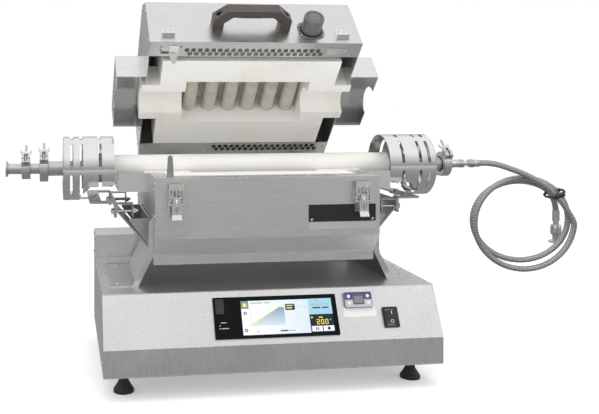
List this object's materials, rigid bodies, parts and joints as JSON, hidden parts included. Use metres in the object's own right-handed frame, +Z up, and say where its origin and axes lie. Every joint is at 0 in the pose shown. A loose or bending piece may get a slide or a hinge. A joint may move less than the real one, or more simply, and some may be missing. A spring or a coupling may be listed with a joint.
{
  "type": "tube furnace",
  "caption": "Bench-top split tube furnace with hinged insulated lid, toggle latches, slotted end shields, touch control panel and a coiled braided gas hose.",
  "frame": {"origin": "on the bench under the middle of the base housing, at the height of the feet's undersides", "axes": "+X along the work tube to the gas hose's side, +Y from the control panel to the hinges, +Z up"},
  "size_m": [1.1799, 0.4564, 0.6956],
  "materials": {
    "base_steel": "satin",
    "body_sheet": "satin",
    "lid_sheet": "satin",
    "bracket_sheet": "satin",
    "plated_steel": "polished",
    "stainless": "satin",
    "clamp_aluminium": "satin",
    "fibre_insulation": "matte",
    "rod_ceramic": "matte",
    "tube_ceramic": "satin",
    "sleeve_aluminium": "satin",
    "handle_plastic": "matte",
    "screen_glass": "gloss",
    "black_plastic": "satin",
    "limiter_plastic": "gloss",
    "button_plastic": "gloss",
    "foot_rubber": "matte",
    "hose_braid": "satin"
  },
  "bodies": {
    "furnace": {"base_housing": "base_steel", "rear_housing": "base_steel", "touch_panel": "screen_glass", "limiter_body": "limiter_plastic", "switch_frame": "black_plastic", "left_leg": "stainless", "right_leg": "stainless", "left_bracket": "bracket_sheet", "right_bracket": "bracket_sheet", "lower_casing": "body_sheet", "lower_insulation": "fibre_insulation", "lower_rods": "rod_ceramic", "lower_trays": "stainless", "guide_tab": "plated_steel", "hinge_lower": "stainless", "latch_base_left": "plated_steel", "latch_base_right": "plated_steel", "work_tube": "tube_ceramic", "tube_sleeves": "sleeve_aluminium", "left_shield": "stainless", "right_shield": "stainless", "left_cradle": "bracket_sheet", "right_cradle": "bracket_sheet", "cradle_bolts": "plated_steel", "left_stub": "stainless", "left_pipe": "stainless", "right_stub": "stainless", "clamp_left_inner": "clamp_aluminium", "clamp_left_outer": "clamp_aluminium", "clamp_right": "clamp_aluminium", "gas_hose": "hose_braid", "hose_ends": "stainless"},
    "foot_front_left": {"foot_front_left": "foot_rubber"},
    "foot_front_right": {"foot_front_right": "foot_rubber"},
    "foot_rear_left": {"foot_rear_left": "foot_rubber"},
    "foot_rear_right": {"foot_rear_right": "foot_rubber"},
    "usb_cover": {"usb_cover": "black_plastic"},
    "limiter_button_1": {"limiter_button_1": "button_plastic"},
    "limiter_button_2": {"limiter_button_2": "button_plastic"},
    "limiter_button_3": {"limiter_button_3": "button_plastic"},
    "limiter_button_4": {"limiter_button_4": "button_plastic"},
    "power_rocker": {"power_rocker": "black_plastic"},
    "latch_lever_left": {"latch_lever_left": "plated_steel"},
    "latch_lever_right": {"latch_lever_right": "plated_steel"},
    "latch_loop_left": {"latch_loop_left": "plated_steel"},
    "latch_loop_right": {"latch_loop_right": "plated_steel"},
    "lid": {"lid_casing": "lid_sheet", "lid_insulation": "fibre_insulation", "upper_rods": "rod_ceramic", "lid_box_left": "stainless", "lid_box_right": "stainless", "lid_handle": "handle_plastic", "lid_cap": "handle_plastic", "lid_catches": "plated_steel", "lid_hook": "plated_steel", "lid_rim_plates": "stainless", "hinge_upper": "stainless"},
    "wing_nut_left_inner": {"wing_nut_left_inner": "plated_steel"},
    "wing_nut_left_outer": {"wing_nut_left_outer": "plated_steel"},
    "wing_nut_right": {"wing_nut_right": "plated_steel"}
  },
  "joints": [
    {"name": "lid_hinge", "type": "hinge", "parent": "furnace", "child": "lid", "pos_m": [0, 0.209, 0.388], "axis": [-1, 0, 0], "range_deg": [-45, 0]},
    {"name": "latch_lever_left", "type": "hinge", "parent": "furnace", "child": "latch_lever_left", "pos_m": [-0.17, -0.137, 0.335], "axis": [-1, 0, 0], "range_deg": [0, 120]},
    {"name": "latch_loop_left", "type": "hinge", "parent": "latch_lever_left", "child": "latch_loop_left", "pos_m": [-0.17, -0.139, 0.324], "axis": [-1, 0, 0], "range_deg": [-120, 0]},
    {"name": "latch_lever_right", "type": "hinge", "parent": "furnace", "child": "latch_lever_right", "pos_m": [0.17, -0.137, 0.335], "axis": [-1, 0, 0], "range_deg": [0, 120]},
    {"name": "latch_loop_right", "type": "hinge", "parent": "latch_lever_right", "child": "latch_loop_right", "pos_m": [0.17, -0.139, 0.324], "axis": [-1, 0, 0], "range_deg": [-120, 0]},
    {"name": "power_rocker", "type": "hinge", "parent": "furnace", "child": "power_rocker", "pos_m": [0.209, -0.17516, 0.12397], "axis": [1, 0, 0], "range_deg": [-24, 0]},
    {"name": "limiter_button_1", "type": "slide", "parent": "furnace", "child": "limiter_button_1", "axis": [0, 0.8944, -0.4472], "range_m": [0, 0.0008], "stiffness_N_per_m": 200},
    {"name": "limiter_button_2", "type": "slide", "parent": "furnace", "child": "limiter_button_2", "axis": [0, 0.8944, -0.4472], "range_m": [0, 0.0008], "stiffness_N_per_m": 200},
    {"name": "limiter_button_3", "type": "slide", "parent": "furnace", "child": "limiter_button_3", "axis": [0, 0.8944, -0.4472], "range_m": [0, 0.0008], "stiffness_N_per_m": 200},
    {"name": "limiter_button_4", "type": "slide", "parent": "furnace", "child": "limiter_button_4", "axis": [0, 0.8944, -0.4472], "range_m": [0, 0.0008], "stiffness_N_per_m": 200},
    {"name": "usb_cover", "type": "hinge", "parent": "furnace", "child": "usb_cover", "pos_m": [-0.1049, -0.1621, 0.14874], "axis": [0, -0.4472, -0.8944], "range_deg": [0, 95]},
    {"name": "wing_nut_left_inner", "type": "hinge", "parent": "furnace", "child": "wing_nut_left_inner", "pos_m": [-0.402, 0.02494, 0.40498], "axis": [0, 0.766, 0.6428], "continuous": true},
    {"name": "wing_nut_left_outer", "type": "hinge", "parent": "furnace", "child": "wing_nut_left_outer", "pos_m": [-0.436, 0.02848, 0.40077], "axis": [0, 0.766, 0.6428], "continuous": true},
    {"name": "wing_nut_right", "type": "hinge", "parent": "furnace", "child": "wing_nut_right", "pos_m": [0.408, 0.02494, 0.40498], "axis": [0, 0.766, 0.6428], "continuous": true},
    {"name": "foot_front_left", "type": "hinge", "parent": "furnace", "child": "foot_front_left", "pos_m": [-0.262, -0.135, 0.02], "axis": [0, 0, 1], "continuous": true},
    {"name": "foot_front_right", "type": "hinge", "parent": "furnace", "child": "foot_front_right", "pos_m": [0.262, -0.135, 0.02], "axis": [0, 0, 1], "continuous": true},
    {"name": "foot_rear_left", "type": "hinge", "parent": "furnace", "child": "foot_rear_left", "pos_m": [-0.262, 0.15, 0.02], "axis": [0, 0, 1], "continuous": true},
    {"name": "foot_rear_right", "type": "hinge", "parent": "furnace", "child": "foot_rear_right", "pos_m": [0.262, 0.15, 0.02], "axis": [0, 0, 1], "continuous": true}
  ],
  "couplings": [
    {"joint": "latch_loop_left", "follows": "latch_lever_left", "ratio": -1},
    {"joint": "latch_loop_right", "follows": "latch_lever_right", "ratio": -1}
  ]
}
